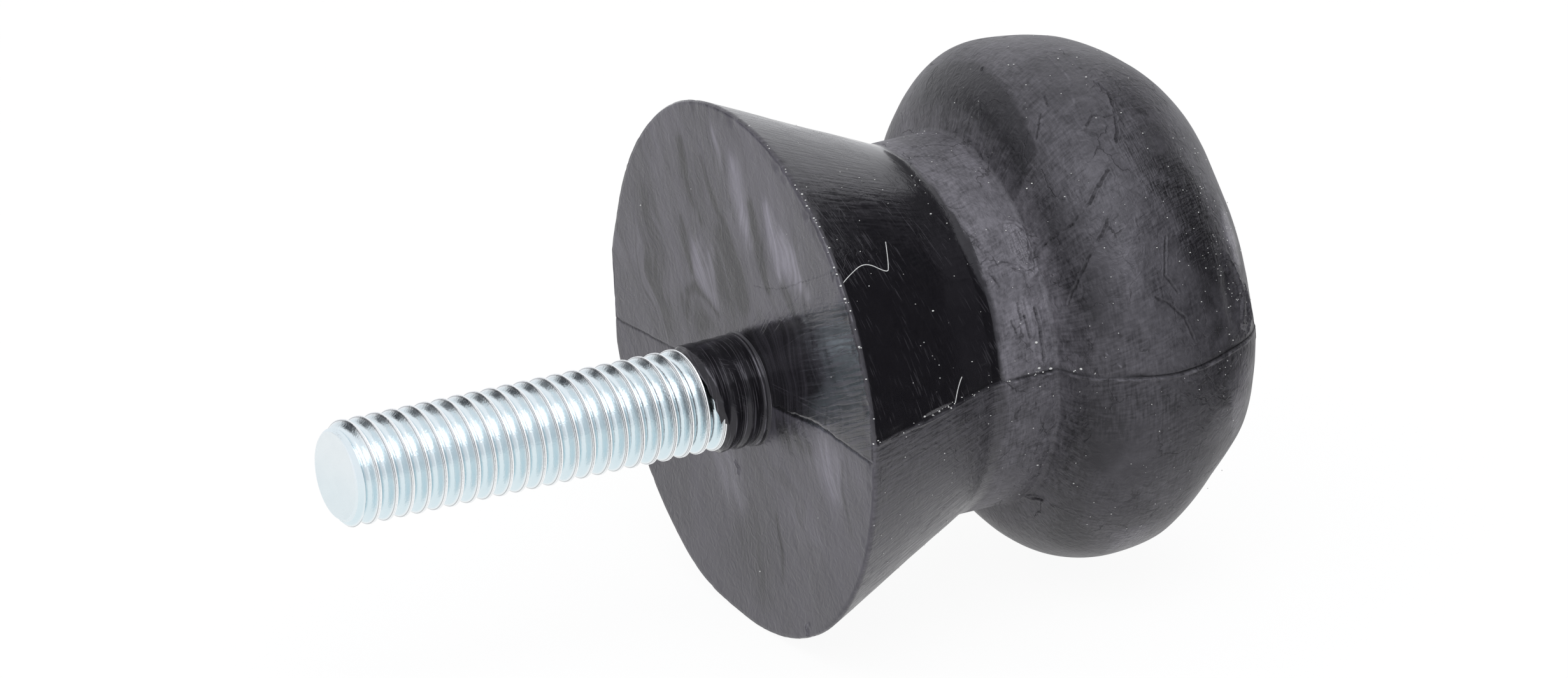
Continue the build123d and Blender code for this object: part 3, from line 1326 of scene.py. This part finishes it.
@dataclass
class Studio:
    """Pale floor, soft lamps, the room around them and the camera. Lengths are in mm."""

    floor_radius: float = 120.0
    floor_height: float = -14.95
    camera_azimuth: float = -26.82
    camera_elevation: float = 21.24
    camera_roll: float = 3.23
    camera_distance: float = 1600.0
    aim: tuple[float, float, float] = (2.82, 0.46, 1.05)
    lens: float = 677.0
    flag_distance: float = 40.0
    flags: tuple[tuple[float, float, float, float], ...] = (
        (-28.5, 6.5, 43.0, 43.0), (3.0, 25.0, 20.0, 16.0))
    white_wall: str = "#fbfcff"
    grey_wall: str = "#e0e2e6"
    grey_wall_way: tuple[float, float, float] = (0.574, -0.819, 0.0)
    dark_gap: str = "#22252c"
    dark_gap_way: tuple[float, float, float] = (-0.65, 0.72, 0.24)

    def build_floor(self) -> None:
        """Lays a plain pale disc that keeps the object's shadow."""
        bm = bmesh.new()
        bmesh.ops.create_circle(bm, cap_ends=True, segments=96, radius=self.floor_radius)
        bmesh.ops.translate(bm, vec=(0, 0, self.floor_height), verts=bm.verts)
        paint = PlainFinish("painted_floor", "#f4f4f4", "#f8f8f8", roughness=0.9, mottle_mm=3.0, camera_white=0.94)
        floor = add_object(bm, "floor", paint.build())

    def build_room(self) -> None:
        """Sets the surroundings: a white room with a pale grey wall and one dark gap.

        The camera itself sees plain white everywhere. Only reflections and diffuse light
        see the grey wall beside the camera and the gap behind the object.
        """
        world = bpy.data.worlds.new("studio_room")
        bpy.context.scene.world = world
        add = start_nodes(world)
        ray = add("TexCoord", out="Generated")
        beside = add("VectorMath:DOT_PRODUCT", ray, self.grey_wall_way, out="Value")
        wall = add("MapRange:SMOOTHSTEP", beside, 0.92, 0.40)
        walls = add("Mix:RGBA", wall, at={6: linear(self.grey_wall), 7: linear(self.white_wall)}, out=2)
        # one dark gap in the white room gives the polished rubber its black
        towards = add("VectorMath:DOT_PRODUCT", ray, self.dark_gap_way, out="Value")
        gap = add("MapRange:SMOOTHSTEP", towards, 0.945, 0.98)
        colour = add("Mix:RGBA", gap, at={6: walls, 7: linear(self.dark_gap)}, out=2)
        direct = add("LightPath", out="Is Camera Ray")
        seen = add("Mix:RGBA", direct, at={6: colour, 7: linear(WHITE)}, out=2)
        add("OutputWorld", add("Background", seen, 1.0))

    def build_flag(self) -> None:
        """Stands a black card in two parts beyond the nose, seen only in reflections.

        It gives the glossy rubber its dark side. Each part of the card has its middle
        (y, z) and its width and height in mm.
        """
        bm = bmesh.new()
        for y, z, width, height in self.flags:
            part = bmesh.ops.create_grid(bm, x_segments=1, y_segments=1, size=0.5)["verts"]
            bmesh.ops.scale(bm, vec=(height, width, 1.0), verts=part)
            bmesh.ops.rotate(bm, cent=(0, 0, 0), matrix=Matrix.Rotation(math.pi / 2, 3, "Y"), verts=part)
            bmesh.ops.translate(bm, vec=(self.flag_distance, y, z), verts=part)
        velvet = PlainFinish("black_velvet", "#050505", "#070707", roughness=1.0, mottle_mm=2.0)
        flag = add_object(bm, "black_flag", velvet.build())
        flag.visible_camera = flag.visible_diffuse = flag.visible_shadow = False

    def add_softbox(self, name: str, azimuth: float, elevation: float, distance: float, size: float,
                    radiance: float, tint: str) -> None:
        """Adds a square softbox that faces the object.

        Args:
            name: The lamp's name.
            azimuth: Degrees round Z, 0 along +X and 90 along +Y.
            elevation: Degrees above the floor.
            distance: Distance from the origin in mm.
            size: Edge of the square in mm.
            radiance: Brightness of its face.
            tint: Colour of its light.
        """
        a, e = math.radians(azimuth), math.radians(elevation)
        way = Vector((math.cos(a) * math.cos(e), math.sin(a) * math.cos(e), math.sin(e)))
        lamp = bpy.data.lights.new(name, "AREA")
        lamp.size = size * MM
        lamp.energy = radiance * math.pi * (size * MM) ** 2
        lamp.color = linear(tint)[:3]
        holder = bpy.data.objects.new(name, lamp)
        turned = way.to_track_quat("Z", "Y").to_matrix().to_4x4()
        holder.matrix_world = Matrix.Translation(way * distance * MM) @ turned
        holder.visible_camera = False
        bpy.context.scene.collection.objects.link(holder)

    def build_camera(self) -> None:
        """Places the camera at the photograph's viewing angle."""
        a, e = math.radians(self.camera_azimuth), math.radians(self.camera_elevation)
        back = Vector((math.sin(a) * math.cos(e), -math.cos(a) * math.cos(e), math.sin(e)))
        data = bpy.data.cameras.new("camera")
        data.lens = self.lens
        data.sensor_width = 36.0
        data.clip_end = 10.0
        camera = bpy.data.objects.new("camera", data)
        turned = back.to_track_quat("Z", "Y").to_matrix().to_4x4()
        rolled = turned @ Matrix.Rotation(-math.radians(self.camera_roll), 4, "Z")
        aim = Vector(self.aim)
        camera.matrix_world = Matrix.Translation((aim + back * self.camera_distance) * MM) @ rolled
        bpy.context.scene.collection.objects.link(camera)
        bpy.context.scene.camera = camera

    def build(self) -> None:
        """Builds the whole studio."""
        scene = bpy.context.scene
        scene.view_settings.view_transform = "Standard"
        self.build_floor()
        self.build_room()
        self.build_flag()
        self.add_softbox("top_softbox", azimuth=-105.0, elevation=58.0, distance=480.0, size=360.0, radiance=2.6,
                         tint="#fafbff")
        self.build_camera()


# each row is a path, then width, depth, lip and dark of the mark; dark is painted shade in the line, and below zero
# makes it a lighter scratch
MARKS = tuple(Mark(kind, *row) for kind, rows in {
    MarkKind.CRACK: (
        (((17.1, 73), (16.9, 71), (16.8, 69)), 0.055, 0.10, 0.03),
        (((16.3, 68), (15.9, 66), (15.5, 63)), 0.05, 0.09, 0.03),
        (((20.1, 72), (20.4, 68), (19.8, 60), (19.1, 54)), 0.06, 0.12, 0.05),
        (((18.0, 60), (18.6, 62), (19.2, 61), (19.9, 61)), 0.05, 0.09, 0.03),
        (((17.9, 48), (17.1, 45), (16.3, 42), (15.2, 39), (14.3, 38), (13.9, 37)), 0.055, 0.11, 0.05),
        (((16.9, 37), (16.3, 34), (15.4, 30), (14.6, 24), (14.3, 21)), 0.055, 0.11, 0.05),
        (((19.7, 30), (19.4, 26), (19.1, 22), (19.6, 18)), 0.05, 0.09, 0.03),
        (((18.3, 18), (19.0, 16), (19.8, 12), (20.3, 6)), 0.05, 0.09, 0.03),
        (((16.1, 94), (14.6, 83), (13.9, 75)), 0.05, 0.09, 0.03),
        (((13.0, 21), (13.05, 13), (13.05, 5)), 0.07, 0.15, 0.06),
        (((12.3, 20), (12.4, 13)), 0.06, 0.11, 0.05),
        (((12.0, 24), (12.05, 19)), 0.055, 0.10, 0.05),
        (((11.5, 19), (11.6, 15)), 0.05, 0.09, 0.04),
        (((11.0, 36), (11.9, 37), (12.5, 35.5), (13.1, 33), (14.1, 29)), 0.04, 0.07, 0.07, 0.6),
        (((11.0, 34), (11.3, 30)), 0.05, 0.08),
        (((23.8, 22), (24.4, 16), (24.5, 12), (24.1, 7)), 0.12, 0.14, 0.14, 0.4),
        (((25.2, 14), (25.7, 5), (25.95, -3)), 0.07, 0.10, 0.03, 0.9),
        (((13.4, -66), (13.7, -58), (14.1, -49)), 0.05, 0.08, 0.04, 0.7),
    ),
    MarkKind.SCRATCH: (
        (((12.6, 50), (13.5, 48), (14.0, 44), (13.6, 38)), 0.06, 0.0, 0.05, -0.6),
        (((13.7, 33), (13.2, 31), (12.9, 35)), 0.08, 0.0, 0.08, -0.9),
        (((12.3, 36), (13.0, 32)), 0.05, 0.0, 0.05, -0.6),
        (((12.5, 24), (12.6, 14)), 0.07, 0.0, 0.05, -0.6),
        (((11.9, 18), (12.0, 11)), 0.05, 0.0, 0.04, -0.4),
        (((19.0, 85), (18.9, 76), (18.0, 66)), 0.05, 0.0, 0.03, -0.35),
        (((24.0, 5), (24.6, 3), (25.2, 6), (25.3, 12)), 0.10, 0.0, 0.12, -0.35),
        (((12.4, 84), (13.0, 82)), 0.05, 0.0, 0.04, -0.9),
        (((16.0, 4.0), (15.4, 7.0)), 0.04, 0.0, 0.03, -0.8),
    ),
    MarkKind.WELD_LINE: (
        (((15.0, -1.7), (7.7, -1.3), (3.4, -1.2)), 0.05, 0.05),
        (((-3.1, -1.0), (-8.7, -0.4), (-14.7, -0.7)), 0.06, 0.07),
        (((-1.9, 5.5), (-4.6, 6.2), (-7.8, 7.6)), 0.03, 0.03, 0.0, 0.6),
        (((-7.8, 7.6), (-11.9, 9.6)), 0.03, 0.03, 0.0, 0.4),
        (((1.6, -5.8), (1.2, -6.1), (1.3, -6.5)), 0.04, 0.04, 0.04, -0.5),
        (((-6.2, -12.8), (-5.8, -13.1), (-5.9, -13.5)), 0.04, 0.04, 0.04, -0.6),
    ),
}.items() for row in rows)

PATCHES = (
    # painted shade on the neck's top, under the head's overhang
    Patch((12.2, 94), (1.6, 18), bloom=-0.30),
    Patch((22.0, 36), (1.7, 24), bloom=-0.27, gloss=0.08, wrinkle=0.9, edge=0.45),
    Patch((14.9, 34), (0.8, 28), bloom=-0.12),
    Patch((18.5, 97), (3.2, 15), bloom=0.14),
    Patch((14.8, 123), (1.4, 11), bloom=0.16),
    Patch((20.2, 48), (1.3, 12), wrinkle=1.0, bloom=-0.05),
    Patch((23.7, 14), (0.8, 8), bloom=-0.08, swell=-0.26, edge=0.2),
    # a slight glossier swelling, and a painted highlight in its lighter bloom
    Patch((17.4, 22), (0.9, 11), bloom=0.08, gloss=0.16, swell=0.14),
    Patch((15.6, 20), (0.8, 14), bloom=-0.12, gloss=0.10),
    Patch((13.2, 42), (0.7, 9), gloss=0.40, bloom=0.20, wrinkle=1.0, swell=-0.05, edge=0.10),
    Patch((12.3, 20), (0.9, 7), gloss=0.22, bloom=0.14, wrinkle=0.5),
    Patch((12.0, 60), (1.4, 14), bloom=-0.05, wrinkle=0.3),
    Patch((19.0, -54), (1.4, 12), bloom=0.12, gloss=0.15, wrinkle=1.0),
    Patch((15.2, -15), (1.2, 14), bloom=-0.12, edge=0.2),
    Patch((15.4, -56), (1.1, 12), bloom=-0.22, edge=0.25),
    Patch((23.9, -13), (1.3, 13), bloom=0.34, gloss=0.12, wrinkle=0.3),
    # painted highlight: a light smear on the crown beside the nose, with a little more gloss
    Patch((24.8, 27), (0.6, 10), bloom=0.72, gloss=0.2, wrinkle=0.8, edge=0.45),
    Patch((18.4, -51), (1.4, 9), bloom=0.40, wrinkle=0.6),
    Patch((23.8, -46), (2.6, 16), swell=-0.40),
    Patch((21.5, -12), (3.4, 22), bloom=-0.08),
    Patch((22.6, -18), (1.6, 8), bloom=0.12, gloss=0.10),
    Patch((25.2, 74), (1.9, 18), swell=0.16),
    Patch((17.0, 122), (2.0, 18), swell=0.26),
    Patch((14.5, -30), (0.9, 26), bloom=-0.12),
)

STROKES = (
    Stroke(((4.9, 5.6), (4.6, 4.5), (4.1, 3.7), (2.9, 3.0)), 0.85, 0.58),
    Stroke(((3.1, 5.8), (3.2, 4.6), (2.9, 3.6)), 0.55, 0.41),
    Stroke(((-0.3, 12.0), (-0.5, 10.7), (-1.1, 9.3), (-1.7, 8.0)), 1.0, 0.41),
    Stroke(((-4.0, 10.6), (-4.5, 9.1), (-5.0, 7.9), (-4.9, 6.8)), 0.8, 0.51),
    Stroke(((-5.6, 9.2), (-6.8, 7.8), (-8.1, 7.0)), 0.9, 0.68),
    Stroke(((1.9, 13.2), (1.7, 10.7)), 0.6, 0.20),
    Stroke(((-9.3, -1.3), (-9.7, -2.7), (-10.2, -3.6)), 1.7, 0.52),
    Stroke(((3.2, -5.6), (2.5, -6.8), (1.3, -7.9)), 1.7, 0.50),
    Stroke(((-5.6, -6.2), (-6.8, -7.2), (-7.4, -8.4)), 1.5, 0.20),
    Stroke(((6.6, 1.9), (5.0, 1.4), (3.4, 1.6)), 1.0, -0.34),
    Stroke(((6.0, 11.4), (5.5, 9.6), (4.9, 8.4), (4.0, 7.4)), 0.55, -0.41),
    Stroke(((3.6, 11.3), (3.0, 9.7), (1.8, 8.5), (0.5, 7.2), (-0.2, 6.0)), 0.28, -0.44),
    Stroke(((1.0, 12.3), (0.7, 10.5), (0.0, 8.7)), 0.25, -0.31),
    Stroke(((-1.9, 10.2), (-2.6, 8.5), (-3.1, 6.9), (-3.5, 5.8)), 0.60, -0.51),
    Stroke(((6.4, 6.8), (5.8, 5.0), (5.5, 4.0)), 0.40, -0.44),
    Stroke(((1.4, 6.8), (0.8, 5.0), (-0.3, 4.2)), 1.6, -0.70),
    Stroke(((0.5, -8.8), (-1.0, -12.6)), 2.6, -0.16),
    Stroke(((6.2, 2.6), (5.2, 3.3), (4.0, 3.0), (2.6, 2.4)), 0.30, -0.48),
    Stroke(((8.2, 1.2), (8.9, -0.7)), 1.1, -0.20),
    Stroke(((-4.8, 6.8), (-5.9, 6.1), (-6.6, 5.0)), 0.40, -0.44),
    Stroke(((-11.2, -1.8), (-11.0, -3.6), (-11.9, -5.6)), 0.22, -0.34),
    Stroke(((-3.0, -7.4), (-3.5, -9.7), (-3.3, -11.3)), 0.22, -0.34),
    Stroke(((-4.0, -2.2), (-6.1, -2.1), (-7.4, -2.2)), 0.9, -0.27),
    Stroke(((10.4, 6.0), (10.0, 1.5)), 2.6, -0.10),
)

SPECKS = ((6.2, 27, 0.14), (14.5, 54, 0.12), (14.3, 54, 0.10), (9.3, 73, 0.12), (9.6, 71, 0.10), (8.8, 56, 0.13),
          (15.4, 46, 0.12), (16.9, 88, 0.12), (17.1, 87, 0.10), (14.4, 96, 0.10), (14.8, 86, 0.10),
          (19.3, 83, 0.12), (19.8, 74, 0.12), (13.2, -34, 0.16), (14.5, -33, 0.14), (12.7, 11, 0.18),
          (12.7, 3, 0.16), (13.4, 2, 0.18), (14.4, 3, 0.16))

SEAT_SPECKS = ((11.2, 6.1, 0.12), (-0.7, -11.5, 0.10), (5.0, 9.0, 0.06), (-8.0, -6.0, 0.07), (8.0, -3.0, 0.06),
               (-10.5, 3.0, 0.07), (-6.2, 9.9, 0.06))

FIBRES = (((4.5, 46), (4.0, 39), (3.7, 38), (2.4, 41), (0.9, 38), (0.3, 36.5)),
          ((7.4, 8), (7.0, 6), (6.7, 2)))


def main() -> None:
    """Builds every piece in order."""
    logging.basicConfig(level=logging.INFO)
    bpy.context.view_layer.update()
    Studio().build()
    body = RubberBody(marks=MARKS, patches=PATCHES, strokes=STROKES)
    skin = body.build(MouldedRubber())
    ThreadedStud().build(ZincPlate())
    RubberFilm().build(skin.data.materials[0])
    lint = Lint(body, SPECKS, SEAT_SPECKS, FIBRES)
    lint_finish = PlainFinish("cotton_lint", "#a9a9aa", "#deded9").build()
    lint.build_specks(lint_finish)
    lint.build_fibres(lint_finish)


if __name__ == "__main__":
    main()
